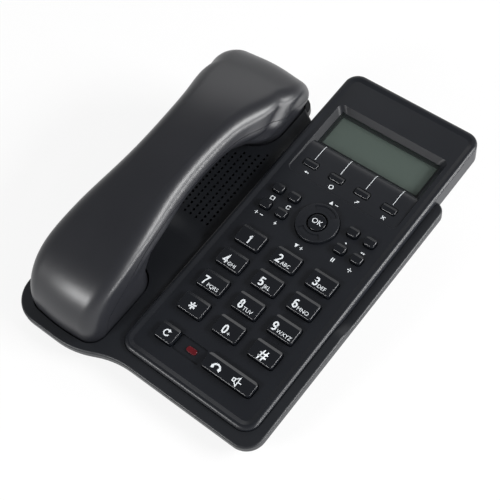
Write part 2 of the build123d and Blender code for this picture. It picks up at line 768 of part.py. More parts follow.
def shell_corners(inset, height):
    """Insets of the eight corners at a height above the table, under the leaning walls."""
    lean = math.tan(math.radians(shell_lean))
    insets = []
    for x, v, radius, inward_x, inward_v in base_corners:
        share = (v - lobe_front) / (lobe_back - lobe_front)
        skirt_low = deck_front_level - skirt_front
        skirt_low += share * (deck_back_level - skirt_back - deck_front_level + skirt_front)
        rise = skirt_low - table_level(v, height)
        insets.append(inset + rise * lean)
    return insets


def shell_loft(inset, low):
    """Leaning body of the bottom shell, drawn in by an inset and down to a height above the table."""
    fall = deck_front_level - skirt_front - deck_back_level + skirt_back
    pitch = math.degrees(math.atan2(fall, lobe_back - lobe_front))
    top = Pos(0, lobe_front, deck_front_level - skirt_front + shell_lap) * Rot(-pitch, 0, 0) * Pos(
        0, -lobe_front, 0) * even_outline(deck_wall + fit_gap + inset)
    tilt = math.radians(deck_tilt)
    foot = base_outline(shell_corners(deck_wall + fit_gap + inset, low))
    foot = Pos(0, 0, low) * scale(foot, by=(1, math.cos(tilt), 1))
    return loft([on_deck(top), foot], ruled=True)


def bottom_shell_parts():
    floor = foot_height
    body = shell_loft(0, floor)
    hollow = shell_loft(wall, floor + wall)
    shell = body - hollow
    shell -= on_deck(box_between(-panel_half_width - fit_gap, panel_half_width + fit_gap, head_front - fit_gap,
                                 lobe_back + overrun, -head_depth - fit_gap, overrun))
    tray_low = -panel_skirt_depth - fit_gap - tray_thickness
    shell -= on_deck(panel_block(2 * fit_gap + tray_thickness, tray_low - fit_gap, overrun))
    for share, bottom in ((0, handset_bottom), (1, ear_bottom)):
        shell -= on_deck(cup_prism(share, -cup_clearance - tray_thickness - fit_gap,
                                   bottom - 2 * fit_gap - tray_thickness, overrun))
    screws = []
    for x, v, level in towers():
        tower = on_deck(rod(tower_radius, overrun, x, v, level - overrun)) & body
        head_level = max(table_level(v, floor) + wall, level - 3 * tower_web)
        shell += tower
        shell -= on_deck(rod(screw_head_radius + fit_gap, overrun, x, v, head_level - overrun))
        shell -= on_deck(rod(screw_radius + seat_gap, overrun, x, v, level - overrun + wall))
        screw = rod(screw_head_radius, screw_head_height, x, v, head_level - seat_gap - screw_head_height)
        shank = rod(screw_radius, level + wall - head_level, x, v, head_level - seat_gap - screw_head_height)
        screws.append(on_deck(screw + shank))

    # Recesses for the feet, posts for the main board and the hook switch, pads and windows for the sockets
    feet = []
    for x, y in foot_places:
        foot = rod(foot_diameter / 2, foot_height + foot_recess, x, y)
        shell -= rod(foot_diameter / 2 + seat_gap, foot_recess + fit_gap / 2, x, y, floor)
        feet.append(foot)
    board_low = floor + wall + main_board_rise
    for x in (-1, 1):
        for y in (main_board_front + post_radius, main_board_back - post_radius):
            post = rod(post_radius, main_board_rise + wall / 2 - seat_gap, x * (main_board_half_width - post_radius), y,
                       floor + wall / 2)
            shell += post
    pillar_top = switch_low() - seat_gap
    pillar = box_between(handset_x + plunger_offset - switch_width / 3, handset_x + plunger_offset + switch_width / 3,
                         plunger_v - switch_length / 3, plunger_v + switch_length / 3, -overrun, pillar_top)
    shell += on_deck(pillar) & body
    for socket, face_x, face_y, turn in socket_places():
        shell += Pos(face_x, face_y, floor + wall / 2) * Rot(0, 0, turn) * box_between(
            -jack_body / 3, jack_body / 3, -jack_depth, -wall, 0, wall / 2 + jack_rise - seat_gap)
        shell -= Pos(face_x, face_y, floor + wall + jack_rise) * Rot(0, 0, turn) * box_between(
            -jack_body / 2 - seat_gap, jack_body / 2 + seat_gap, -jack_depth, overrun / 2, -seat_gap,
            jack_height + seat_gap)
    # The ear cup's tub cuts a scrap off the lip, which goes
    shell = max(shell.solids(), key=lambda solid: solid.volume)
    return {"base_bottom_shell": shell, "base_screws": screws, "rubber_feet": feet}


def socket(bore_width):
    """Modular socket facing +Y, standing on zero, with its mouth at the origin."""
    body = box_between(-jack_body / 2, jack_body / 2, -jack_depth, 0, 0, jack_height)
    low = (jack_height - bore_height) / 2
    return body - box_between(-bore_width / 2, bore_width / 2, -bore_depth, overrun, low, low + bore_height)


def socket_places():
    """Name, mouth position and turn of the two sockets, level with the foot of the leaning walls."""
    insets = shell_corners(deck_wall + fit_gap, foot_height)
    flat = math.cos(math.radians(deck_tilt))
    reach = (wall + jack_rise) * math.tan(math.radians(shell_lean)) - fit_gap
    front = (lobe_front + insets[0]) * flat
    back = (lobe_back - insets[-1]) * flat
    share = (cord_jack_v - front) / (back - front)
    left = base_left + (1 - share) * insets[0] + share * insets[-1]
    return [("line_socket", line_jack_x, back + reach, 0), ("cord_socket", left - reach, cord_jack_v, 90)]


def switch_low():
    """Level of the hook switch's underside, below the plunger at rest."""
    plunger_low = ear_bottom - fit_gap - tray_thickness - plunger_travel - seat_gap - plunger_flange - plunger_stem
    return plunger_low - fit_gap - switch_height


def inner_parts():
    """Main board on its posts, the sockets, and the hook switch under its plunger."""
    board_low = foot_height + wall + main_board_rise
    length = main_board_back - main_board_front
    middle = (main_board_back + main_board_front) / 2
    board = slab(2 * main_board_half_width, length, board_thickness, key_corner, 0, middle, board_low)
    top = board_low + board_thickness
    board += slab(chip_size, chip_size, chip_height, key_edge, -chip_size / 2, middle, top)
    for step in (-1, 0, 1):
        board += rod(capacitor_radius, capacitor_height, chip_size, middle + step * 3 * capacitor_radius, top)
    parts = {"main_board": board}
    widths = {"line_socket": line_bore_width, "cord_socket": cord_bore_width}
    for name, x, y, turn in socket_places():
        parts[name] = Pos(x, y, foot_height + wall + jack_rise) * Rot(0, 0, turn) * socket(widths[name])

    x = handset_x + plunger_offset
    pad_top = ear_bottom - fit_gap
    flange_top = pad_top - tray_thickness - plunger_travel - seat_gap
    plunger = slab(plunger_width, plunger_length, pad_top - flange_top, key_corner, x, plunger_v, flange_top)
    plunger = fillet(plunger.faces().sort_by(Axis.Z)[-1].edges(), key_edge)
    plunger += slab(plunger_width + 2 * key_flange, plunger_length + 2 * key_flange, plunger_flange, key_corner,
                    x, plunger_v, flange_top - plunger_flange)
    plunger += slab(plunger_width / 2, plunger_length / 2, plunger_stem, key_edge, x, plunger_v,
                    flange_top - plunger_flange - plunger_stem)
    switch = slab(switch_width, switch_length, switch_height, key_edge, x, plunger_v, switch_low())
    parts["hook_plunger"] = on_deck(plunger)
    parts["hook_switch"] = on_deck(switch)
    return parts


nodes = {}
for name, shape in handset_parts().items():
    nodes[name] = [on_deck(piece) for piece in shape] if isinstance(shape, list) else on_deck(shape)
for name, width, length, corner, x, v, height, roof in key_rows():
    nodes[name] = on_deck(key_cap(width, length, corner, x, v, height, roof))
for part in (ring_parts(), faceplate_parts(), top_shell_parts()):
    for name, shape in part.items():
        nodes[name] = on_deck(shape)
nodes.update(bottom_shell_parts())
nodes.update(inner_parts())

# The origin is under the middle of the whole, on the table
pieces = sum([shape if isinstance(shape, list) else [shape] for shape in nodes.values()], [])
bounds = Compound([solid for piece in pieces for solid in piece.solids()]).bounding_box()
shift = Pos(-(bounds.min.X + bounds.max.X) / 2, -(bounds.min.Y + bounds.max.Y) / 2, -bounds.min.Z)

os.makedirs("parts", exist_ok=True)
for name, shape in nodes.items():
    solids = shape if isinstance(shape, list) else [shape]
    placed = shift * Compound([solid for piece in solids for solid in piece.solids()])
    print(name, len(placed.solids()), round(placed.volume), placed.is_valid)
    export_step(placed, f"parts/{name}.step")

deck_origin = (shift * Pos(0, 0, deck_centre_height)).position
print("whole", bounds.size, "deck origin", deck_origin)
print("sockets", socket_places())
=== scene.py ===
# %% [markdown]
# This lesson dresses a corded telephone, whose pieces come from the CAD model in metres, as a photograph of
# it shows them. The solids already have the real shapes, so Blender adds what they lack: the grain and
# gloss of each plastic, a gentler sweep of the handset, the pads of the ring key, the signal light, the
# white print on the keys and the panel, the studio and the camera.

# %% Load the telephone
import json
import math
import bmesh
import bpy
from mathutils import Matrix, Vector
from mathutils.bvhtree import BVHTree


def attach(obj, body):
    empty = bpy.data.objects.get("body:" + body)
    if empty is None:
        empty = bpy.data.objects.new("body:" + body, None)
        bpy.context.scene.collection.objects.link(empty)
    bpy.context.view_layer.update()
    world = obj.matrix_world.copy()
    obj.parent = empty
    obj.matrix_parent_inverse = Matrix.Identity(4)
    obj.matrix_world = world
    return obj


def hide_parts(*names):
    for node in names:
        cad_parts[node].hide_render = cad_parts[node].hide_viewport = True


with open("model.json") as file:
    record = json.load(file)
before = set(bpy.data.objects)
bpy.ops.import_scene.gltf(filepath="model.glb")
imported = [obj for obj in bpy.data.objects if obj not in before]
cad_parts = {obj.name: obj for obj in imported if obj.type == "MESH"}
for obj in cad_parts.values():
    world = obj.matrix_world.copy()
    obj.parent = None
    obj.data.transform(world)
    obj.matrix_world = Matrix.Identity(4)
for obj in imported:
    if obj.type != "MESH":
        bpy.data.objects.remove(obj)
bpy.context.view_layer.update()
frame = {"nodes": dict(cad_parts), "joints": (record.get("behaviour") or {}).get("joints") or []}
MM = 0.001
WELD = 0.002 * MM
SHARP_ANGLE = math.radians(32)

# %% [markdown]
# The panel slopes towards the user, so print and keys are easier to place on a deck of their own: x to the
# right, v up the slope, h square to it, with zero at the middle of the 5 key. The slope is read from the
# way the keys travel, and zero is found from the hinge of the round rocker key, whose place on the deck is
# known.

# %% The deck
RING_V = 43.8 * MM
HINGE_DEPTH = 3.0 * MM
joints = {joint["name"]: joint for joint in frame["joints"]}
key_travel = Vector(joints["key_5_press"]["axis"]).normalized()
deck_up = -key_travel
deck_turn = Matrix.Rotation(math.asin(key_travel.y), 3, "X")
hinge = Vector(joints["nav_ring_rock"]["pos_m"])
deck_zero = hinge - deck_turn @ Vector((0, RING_V, -HINGE_DEPTH))


def on_deck(x, v, h=0.0):
    """Point of the scene for a place on the deck."""
    return deck_zero + deck_turn @ Vector((x, v, h))


print("deck slope", round(math.degrees(math.asin(key_travel.y)), 2), "zero", [round(c, 4) for c in deck_zero])

# %% [markdown]
# A product photograph is known by its viewpoint, so the camera comes first. Its place and turn were worked
# out by fitting a pinhole camera to the grid of keys: the picture's plane is given by the directions that
# run to the right and up in it, and the lens by its focal length on a 36 mm wide picture.

# %% The camera
SENSOR_WIDTH = 36.0
FOCAL_LENGTH = 75.26
CAMERA_FROM_KEY = Vector((0.18865, -0.25101, 0.44701))
PICTURE_RIGHT = Vector((0.78148, 0.62393, 0.0))
PICTURE_UP = Vector((-0.49865, 0.62456, 0.60106))

camera_data = bpy.data.cameras.new("camera")
camera_data.sensor_width = SENSOR_WIDTH
camera_data.lens = FOCAL_LENGTH
camera = bpy.data.objects.new("camera", camera_data)
bpy.context.scene.collection.objects.link(camera)
right = PICTURE_RIGHT.normalized()
back = right.cross(PICTURE_UP).normalized()
turn = Matrix((right, back.cross(right), back)).transposed().to_4x4()
camera.matrix_world = Matrix.Translation(deck_zero + CAMERA_FROM_KEY) @ turn
bpy.context.scene.camera = camera
print("camera at", [round(c, 3) for c in camera.location])

# %% [markdown]
# Materials are made of nodes, and long node lists are hard to read. Two small classes let them be written
# as sums: a Value is one socket, and adding or multiplying it adds the Math nodes. A Finish is one
# material, whose node method makes any other node from its type, its settings and what goes into its
# sockets.

# %% Materials written as sums
class Value:
    """A socket of a finish, for use in sums."""

    def __init__(self, finish, socket):
        self.finish = finish
        self.socket = socket

    def maths(self, operation, first, second):
        return self.finish.node("ShaderNodeMath", {"operation": operation}, {0: first, 1: second})

    def __add__(self, other):
        return self.maths("ADD", self, other)

    __radd__ = __add__

    def __mul__(self, other):
        return self.maths("MULTIPLY", self, other)

    __rmul__ = __mul__

    def __sub__(self, other):
        return self.maths("SUBTRACT", self, other)

    def __rsub__(self, other):
        return self.maths("SUBTRACT", other, self)


class Finish:
    """A material, or the studio's world, with its nodes."""

    def __init__(self, name, owner=None):
        self.owner = owner or bpy.data.materials.new(name)
        self.owner.use_nodes = True
        self.tree = self.owner.node_tree
        self.tree.nodes.clear()

    def node(self, kind, settings=None, inputs=None, output=0):
        made = self.tree.nodes.new(kind)
        for name, value in (settings or {}).items():
            setattr(made, name, value)
        for name, value in (inputs or {}).items():
            if isinstance(value, Value):
                self.tree.links.new(value.socket, made.inputs[name])
            else:
                made.inputs[name].default_value = value
        return Value(self, made.outputs[output]) if made.outputs else None

    def mixed(self, share, first, second):
        """Colour between two colours."""
        settings = {"data_type": "RGBA"}
        return self.node("ShaderNodeMix", settings, {0: share, 6: first, 7: second}, 2)

    def noise(self, size, detail=2.0):
        """Noise from 0 to 1 whose spots are about that size on the object."""
        place = self.node("ShaderNodeTexCoord", output="Object")
        return self.node("ShaderNodeTexNoise", {}, {"Vector": place, "Scale": 1 / size, "Detail": detail})

    def shown(self, shader, output="ShaderNodeOutputMaterial"):
        self.node(output, {}, {"Surface": shader})
        return self.owner


print("helpers ready")

# %% [markdown]
# Moulded plastic is never one flat colour. The mould leaves a fine grain, which breaks up reflections, the
# gloss differs a little from place to place, and handling polishes it in soft patches. All three come from
# noise of different sizes: the finest feeds a bump, and the wide ones feed the roughness and the colour.

# %% Moulded plastic
CLOUD_SIZE = 22 * MM
SPECK_SIZE = 3 * MM


def moulded(name, colour, roughness, grain_size, grain_depth, patch=0.05, specular=0.5):
    """Black plastic with a grain, soft patches of gloss and a slight change of shade."""
    finish = Finish(name)
    grain = finish.noise(grain_size, 3.0)
    cloud = finish.noise(CLOUD_SIZE)
    speck = finish.noise(SPECK_SIZE, 4.0)
    shade = finish.mixed(cloud, [*(c * 0.88 for c in colour), 1], [*(c * 1.12 for c in colour), 1])
    gloss = roughness + patch * (cloud - 0.5) + 0.4 * patch * (speck - 0.5)
    bump = finish.node("ShaderNodeBump", {}, {"Height": grain, "Distance": grain_depth, "Strength": 1.0})
    shader = finish.node("ShaderNodeBsdfPrincipled", {}, {
        "Base Color": shade, "Roughness": gloss, "Normal": bump, "Specular IOR Level": specular})
    return finish.shown(shader)


case_black = moulded("case black", (0.0090, 0.0102, 0.0130), 0.42, 0.45 * MM, 0.007 * MM, 0.05, 0.42)
panel_black = moulded("panel black", (0.0085, 0.0097, 0.0128), 0.36, 0.35 * MM, 0.0010 * MM, 0.05, 0.38)
handset_black = moulded("handset black", (0.0135, 0.0142, 0.0175), 0.35, 0.30 * MM, 0.003 * MM, 0.04)
key_black = moulded("key black", (0.0060, 0.0070, 0.0095), 0.18, 0.60 * MM, 0.0001 * MM, 0.05)
hidden_black = moulded("inner black", (0.02, 0.02, 0.02), 0.5, 0.5 * MM, 0.01 * MM)
rubber = moulded("foot rubber", (0.016, 0.016, 0.016), 0.75, 0.25 * MM, 0.02 * MM)
mat_rubber = moulded("keypad rubber", (0.22, 0.22, 0.21), 0.62, 0.4 * MM, 0.01 * MM)
print("plastics and rubber ready")

# %% [markdown]
# The display is a sheet of grey green glass under a clear acrylic window. The window is thin and flat, so
# it is a nearly see-through surface that keeps its reflection, which is lighter work than true refraction
# and doesn't darken what lies below. The glass itself has a faint change of tint, as its polariser does.

# %% Display and signal light
def clear_window():
    finish = Finish("clear window")
    haze = finish.noise(6 * MM)
    return finish.shown(finish.node("ShaderNodeBsdfPrincipled", {}, {
        "Base Color": (0.04, 0.05, 0.045, 1), "Roughness": 0.05 + 0.03 * haze, "Alpha": 0.25, "IOR": 1.49}))


def display_glass():
    finish = Finish("display glass")
    cloud = finish.noise(30 * MM)
    tint = finish.mixed(cloud, (0.165, 0.215, 0.186, 1), (0.180, 0.228, 0.204, 1))
    fine = finish.noise(0.3 * MM)
    return finish.shown(finish.node("ShaderNodeBsdfPrincipled", {}, {
        "Base Color": tint, "Roughness": 0.36 + 0.05 * fine, "Specular IOR Level": 0.3}))


def signal_red():
    finish = Finish("signal red")
    cloud = finish.noise(1.5 * MM)
    red = finish.mixed(cloud, (0.060, 0.003, 0.006, 1), (0.120, 0.006, 0.010, 1))
    return finish.shown(finish.node("ShaderNodeBsdfPrincipled", {}, {"Base Color": red, "Roughness": 0.2}))


window_clear = clear_window()
glass_green = display_glass()
light_red = signal_red()
print("display ready")

# %% [markdown]
# Some pieces show only through a hole or from below: the steel screws and the loudspeaker, and the boards
# behind the keys. They still get real finishes. Steel is fully metallic with fine scratches that stretch
# along one direction, and a board is green lacquer over copper tracks, which follow the borders between
# irregular cells.

# %% Steel and boards
SCRATCH_SIZE = 0.15 * MM
SCRATCH_DEPTH = 0.004 * MM
TRACK_CELL = 4 * MM


def brushed_metal(name, colour, roughness):
    finish = Finish(name)
    place = finish.node("ShaderNodeTexCoord", output="Object")
    stretched = finish.node("ShaderNodeMapping", {}, {"Vector": place, "Scale": (1.0, 0.08, 1.0)})
    scratch = finish.node("ShaderNodeTexNoise", {}, {
        "Vector": stretched, "Scale": 1 / SCRATCH_SIZE, "Detail": 3.0})
    bump = finish.node("ShaderNodeBump", {}, {"Height": scratch, "Distance": SCRATCH_DEPTH})
    return finish.shown(finish.node("ShaderNodeBsdfPrincipled", {}, {
        "Base Color": colour, "Metallic": 1.0, "Roughness": roughness + 0.12 * scratch, "Normal": bump}))


def circuit_board():
    finish = Finish("circuit board")
    place = finish.node("ShaderNodeTexCoord", output="Object")
    cells = finish.node("ShaderNodeTexVoronoi", {"feature": "DISTANCE_TO_EDGE"},
                        {"Vector": place, "Scale": 1 / TRACK_CELL})
    track = finish.node("ShaderNodeMapRange", {}, {"Value": cells, "From Min": 0.04, "From Max": 0.07})
    lacquer = finish.mixed(track, (0.055, 0.20, 0.075, 1), (0.018, 0.10, 0.034, 1))
    return finish.shown(finish.node("ShaderNodeBsdfPrincipled", {}, {
        "Base Color": lacquer, "Roughness": 0.32 - 0.08 * track}))


steel = brushed_metal("steel", (0.56, 0.56, 0.57, 1), 0.24)
board_green = circuit_board()
print("metals and boards ready")

# %% [markdown]
# The CAD pieces keep their shapes, so dressing them is one table: which finish each piece wears. Every key
# wears the glossy black, and the pieces that nobody sees without opening the case wear what such pieces are
# made of.

# %% Dress the CAD pieces
worn = {
    "handset_upper_shell": handset_black, "handset_lower_shell": handset_black,
    "base_top_shell": case_black, "base_bottom_shell": case_black, "speaker_grille": case_black,
    "head_cover": case_black, "hook_plunger": case_black, "faceplate": panel_black, "nav_ring": panel_black,
    "display_lens": window_clear, "lcd_glass": glass_green, "status_led": light_red,
    "rubber_feet": rubber, "keypad_mat": mat_rubber, "keypad_board": board_green, "main_board": board_green,
    "base_screws": steel, "handset_screws": steel, "handset_weight": steel, "speaker": steel,
}
for name, node in frame["nodes"].items():
    finish = worn.get(name, key_black if "key" in name else hidden_black)
    node.data.materials.clear()
    node.data.materials.append(finish)
print("dressed", len(frame["nodes"]), "CAD pieces")

# %% [markdown]
# The handset swells towards the earpiece in one long sweep, and closes smoothly from its widest line down
# to the cradle, while the CAD shells swell late, hold their width too long and then pinch. So the two
# shells get a copy each, whose width is eased. The sections of the earpiece fan out round its inner edge:
# each line of the table is one of them, with its share of the handset's run, and a vertex takes its share
# from the two lines beside it. Two smooth bells, one that swells and one that draws in, then say how wide
# the handset is there.

# %% Ease the earpiece
HANDSET_X = -76.5
SWELL = (0.085, 0.785, 0.075)
DRAW_IN = (-0.090, 0.930, 0.036)
EAR_SECTIONS = [
    (0.58, 27.0, 17.0, 36.0, 38.9), (0.64, 34.4, 16.7, 50.7, 38.1), (0.70, 41.8, 16.1, 65.2, 36.1),
    (0.76, 49.1, 14.5, 79.5, 32.4), (0.80, 53.7, 12.8, 88.7, 29.1), (0.84, 57.9, 10.1, 97.6, 25.0),
    (0.87, 60.4, 7.4, 103.7, 20.9), (0.89, 61.7, 5.3, 107.2, 17.4), (0.91, 62.6, 3.0, 109.9, 13.3),
    (0.925, 63.1, 1.2, 111.3, 9.9), (0.94, 63.5, -0.6, 112.2, 6.4), (0.955, 63.7, -2.4, 112.4, 2.7),
    (0.967, 63.9, -3.9, 111.8, -0.2), (0.978, 64.0, -5.3, 110.9, -2.7), (1.0, 63.9, -8.0, 110.1, -8.0),
]


def before_section(section, v, h):
    """How far a place lies before a section line, below zero where it is past the line."""
    share, inner_v, inner_h, outer_v, outer_h = section
    run_v, run_h = outer_v - inner_v, outer_h - inner_h
    return (run_v * (h - inner_h) - run_h * (v - inner_v)) / math.hypot(run_v, run_h)


def run_share(v, h):
    """Share of the handset's run at a place, from the earpiece's first section on."""
    if before_section(EAR_SECTIONS[0], v, h) > 0:
        return 0.0
    for first, second in zip(EAR_SECTIONS, EAR_SECTIONS[1:]):
        ahead = before_section(second, v, h)
        if ahead > 0:
            passed = max(-before_section(first, v, h), 0)
            return first[0] + (second[0] - first[0]) * passed / (passed + ahead)
    return 1.0


def width_there(v, h):
    """Eased width of the handset at a place, as a multiple of the CAD shell's."""
    share = run_share(v, h)
    bells = [size * math.exp(-((share - middle) / reach) ** 2) for size, middle, reach in (SWELL, DRAW_IN)]
    return 1 + sum(bells)


def eased_point(point):
    """Where a point of the handset lies when its width is eased."""
    x, v, h = (deck_turn.transposed() @ (point - deck_zero)) / MM
    middle = on_deck(HANDSET_X * MM, v * MM, h * MM)
    return middle + Vector((x - HANDSET_X, 0, 0)) * MM * width_there(v, h)


def copy_of(node_name, name, moved=None):
    """Object with a closed copy of a CAD piece, whose points may be moved on the way."""
    source = frame["nodes"][node_name].data
    shape = bmesh.new()
    for vertex in source.vertices:
        shape.verts.new(moved(vertex.co) if moved else vertex.co)
    shape.verts.ensure_lookup_table()
    for face in source.polygons:
        corners = [shape.verts[i] for i in face.vertices]
        if not shape.faces.get(corners):
            shape.faces.new(corners)
    bmesh.ops.remove_doubles(shape, verts=shape.verts, dist=WELD)
    mesh = bpy.data.meshes.new(name)
    shape.to_mesh(mesh)
    shape.free()
    piece = bpy.data.objects.new(name, mesh)
    bpy.context.scene.collection.objects.link(piece)
    return piece


def smoothed(mesh, finish):
    """Smooth shading with sharp edges kept, in one finish."""
    mesh.shade_smooth()
    mesh.set_sharp_from_angle(angle=SHARP_ANGLE)
    mesh.materials.clear()
    mesh.materials.append(finish)


def eased(node_name):
    """Copy of a handset shell with its width eased towards the earpiece."""
    piece = copy_of(node_name, f"{node_name}_eased", eased_point)
    smoothed(piece.data, handset_black)
    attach(piece, "handset")
    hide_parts(node_name)
    return piece


for name in ("handset_upper_shell", "handset_lower_shell"):
    print("eased", name, len(eased(name).data.vertices), "vertices")

# %% [markdown]
# White print has to lie on the surface that carries it, also where the panel dips towards the display. So
# each print is drawn flat on the deck, and every point is then dropped down the deck's own upward line
# until it meets the mesh of the piece below. A thin skin of ink lifts it off that surface.

# %% Drop print onto a surface
INK_LIFT = 0.04 * MM
INK_THICKNESS = 0.06 * MM
DROP_HEIGHT = 20 * MM


def print_white():
    finish = Finish("print white")
    worn_spots = finish.noise(0.8 * MM, 3.0)
    shade = finish.mixed(worn_spots, (0.66, 0.70, 0.73, 1), (0.80, 0.83, 0.85, 1))
    return finish.shown(finish.node("ShaderNodeBsdfPrincipled", {}, {
        "Base Color": shade, "Roughness": 0.42 + 0.1 * worn_spots}))


ink_white = print_white()
surfaces = {}


def surface_of(node_name):
    if node_name not in surfaces:
        mesh = frame["nodes"][node_name].data
        mesh.calc_loop_triangles()
        corners = [tuple(t.vertices) for t in mesh.loop_triangles]
        surfaces[node_name] = BVHTree.FromPolygons([v.co for v in mesh.vertices], corners)
    return surfaces[node_name]


def printed(name, flat_mesh, carrier, body):
    """Ink from a flat mesh in deck millimetres, laid on the carrier's surface."""
    tree = surface_of(carrier)
    for vertex in flat_mesh.vertices:
        start = on_deck(vertex.co.x * MM, vertex.co.y * MM, DROP_HEIGHT)
        hit = tree.ray_cast(start, -deck_up)[0]
        vertex.co = (hit or on_deck(vertex.co.x * MM, vertex.co.y * MM)) + deck_up * INK_LIFT
    flat_mesh.materials.clear()
    flat_mesh.materials.append(ink_white)
    piece = bpy.data.objects.new(name, flat_mesh)
    bpy.context.scene.collection.objects.link(piece)
    skin = piece.modifiers.new("skin", "SOLIDIFY")
    skin.thickness = INK_THICKNESS
    skin.offset = -1
    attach(piece, body)
    return piece


print("print helper ready")

# %% [markdown]
# Numbers and signs are drawn with a pen: each is a few strokes and filled shapes, and a stroke is a ribbon
# as wide as the pen with mitred corners. Every other print on the telephone is made of these.

# %% A pen
PEN = 0.17
MITRE_LIMIT = 0.3


def stroke(points, pen=PEN, closed=False):
    """Ribbon along points, as a list of four-cornered faces, with mitred corners."""
    points = [Vector((x, y, 0)) for x, y in points]
    count = len(points)
    edges = []
    for i, point in enumerate(points):
        before = points[i - 1] if i > 0 or closed else None
        after = points[(i + 1) % count] if i < count - 1 or closed else None
        runs = [run.normalized() for run in ((point - before) if before else None,
                                             (after - point) if after else None) if run]
        across = sum((Vector((-run.y, run.x, 0)) for run in runs), Vector()).normalized()
        reach = pen / 2 / max(across.dot(Vector((-runs[0].y, runs[0].x, 0))), MITRE_LIMIT)
        edges.append((point + across * reach, point - across * reach))
    pairs = zip(edges, edges[1:] + edges[:1]) if closed else zip(edges, edges[1:])
    return [[a[0], a[1], b[1], b[0]] for a, b in pairs]


def filled(points):
    return [[Vector((x, y, 0)) for x, y in points]]


def arc(radius, start, end, steps=20, x=0.5, y=0.5):
    """Points on an arc, with its ends in degrees."""
    turns = [math.radians(start + (end - start) * i / steps) for i in range(steps + 1)]
    return [(x + radius * math.cos(a), y + radius * math.sin(a)) for a in turns]


print("pen ready")

# %% [markdown]
# The numbers are bold and even in width, so the pen draws them, and the small letters are text curves
# turned into meshes. A key's number stands large at the left and its letters small at the right on the same
# base line, and the pair is centred on the key, as the photograph shows.

# %% Numbers and letters on the keys
NUMBER_HEIGHT = 5.2
NUMBER_PEN = 0.165
LETTER_HEIGHT = 2.1
PAIR_GAP = 0.7
BASE_LINE = -3.9
KEY_PITCH_X = 23.5
KEY_PITCH_V = 16.15


def text_mesh(words, height, boldness):
    """Flat mesh of some words, with its left end and its base line at zero and capitals of that height."""
    curve = bpy.data.curves.new(words, "FONT")
    curve.body = words
    curve.offset = boldness
    curve.resolution_u = 5
    holder = bpy.data.objects.new(words, curve)
    bpy.context.scene.collection.objects.link(holder)
    graph = bpy.context.evaluated_depsgraph_get()
    mesh = bpy.data.meshes.new_from_object(holder.evaluated_get(graph))
    bpy.data.objects.remove(holder)
    low = min(v.co.x for v in mesh.vertices)
    tall = max(v.co.y for v in mesh.vertices)
    for vertex in mesh.vertices:
        vertex.co = Vector(((vertex.co.x - low) * height / tall, vertex.co.y * height / tall, 0))
    return mesh


def wide(mesh):
    return max(v.co.x for v in mesh.vertices)


def bowl(x, y, half_wide, half_tall, start, end):
    """Points on an oval, with its ends in degrees."""
    return [(x + half_wide * c, y + half_tall * s) for c, s in arc(1, start, end, 24, 0, 0)]


def number_strokes(number):
    """Strokes of a number one unit tall, with the pen's middle inside its outline."""
    six = bowl(0.30, 0.64, 0.20, 0.28, 52, 180) + [(0.10, 0.40)]
    lines = {
        "0": [bowl(0.30, 0.5, 0.205, 0.42, 0, 360)],
        "1": [[(0.28, 0), (0.28, 0.98)], [(0.33, 0.90), (0.09, 0.70)]],
        "2": [bowl(0.30, 0.70, 0.20, 0.22, 165, -35) + [(0.10, 0.08), (0.56, 0.08)]],
        "3": [bowl(0.29, 0.715, 0.185, 0.205, 150, -80) + bowl(0.29, 0.30, 0.205, 0.22, 85, -155)],
        "4": [[(0.41, 0), (0.41, 0.90), (0.08, 0.30), (0.60, 0.30)]],
        "5": [[(0.52, 0.92), (0.17, 0.92), (0.12, 0.50)] + bowl(0.30, 0.32, 0.205, 0.24, 125, -150)],
        "6": [six, bowl(0.30, 0.32, 0.205, 0.24, 0, 360)],
        "7": [[(0.05, 0.92), (0.54, 0.92), (0.32, 0.42), (0.24, 0)]],
        "8": [bowl(0.30, 0.72, 0.175, 0.20, 0, 360), bowl(0.30, 0.30, 0.205, 0.22, 0, 360)],
    }
    if number == "9":
        return [[(0.60 - x, 1 - y) for x, y in line] for line in number_strokes("6")]
    return lines[number]


def number_mesh(number, height):
    faces = []
    for line in number_strokes(number):
        closed = math.dist(line[0], line[-1]) < 0.01
        faces += stroke(line[:-1] if closed else line, NUMBER_PEN, closed)
    shape = bmesh.new()
    for face in faces:
        shape.faces.new([shape.verts.new(point * height) for point in face])
    for face in shape.faces:
        if face.normal.z < 0:
            face.normal_flip()
    mesh = bpy.data.meshes.new(number)
    shape.to_mesh(mesh)
    shape.free()
    return mesh


def star(height):
    """Star of three bars, standing in the upper half like the others of its kind."""
    half = 0.42 * height
    points = []
    for k in range(3):
        turn = Matrix.Rotation(math.radians(60 * k), 3, "Z")
        points += [turn @ Vector((side * 0.08 * height, end * half, 0)) + Vector((half, 0.58 * height, 0.0))
                   for side, end in ((-1, -1), (1, -1), (1, 1), (-1, 1))]
    mesh = bpy.data.meshes.new("star")
    mesh.from_pydata(points, [], [[4 * k, 4 * k + 1, 4 * k + 2, 4 * k + 3] for k in range(3)])
    return mesh


def joined(name, parts):
    """One mesh from several flat meshes, each moved by its x and v."""
    whole = bmesh.new()
    for mesh, x, v in parts:
        mesh.transform(Matrix.Translation((x, v, 0)))
        whole.from_mesh(mesh)
        bpy.data.meshes.remove(mesh)
    mesh = bpy.data.meshes.new(name)
    whole.to_mesh(mesh)
    whole.free()
    return mesh


